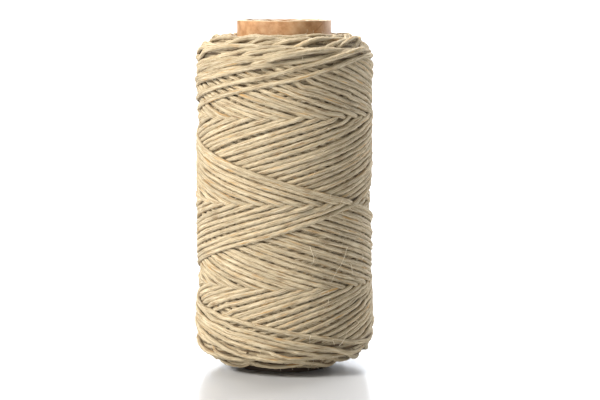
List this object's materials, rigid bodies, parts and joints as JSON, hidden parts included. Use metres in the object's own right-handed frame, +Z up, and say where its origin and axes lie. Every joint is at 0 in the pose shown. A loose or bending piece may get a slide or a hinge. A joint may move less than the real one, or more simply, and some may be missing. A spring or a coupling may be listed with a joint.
{
  "type": "spool of twine",
  "caption": "Cylindrical spool of natural hemp twine, cross-wound with round shoulders on an open cardboard tube that stands a little proud at both ends.",
  "frame": {"origin": "centre of the cardboard tube's foot, on the surface the spool stands on", "axes": "+Z up along the tube, the spool's longest side; the picture looks along +Y, so -Y is the front and +X is to its right"},
  "size_m": [0.0496, 0.0504, 0.1],
  "materials": {
    "hemp_twine": "natural unbleached hemp, two-ply, dry and matt, pale straw with orange-brown fibres and fine hairs",
    "kraft_tube": null
  },
  "bodies": {
    "root": {"cardboard_tube": "kraft_tube", "twine_winding": "hemp_twine"}
  },
  "joints": []
}
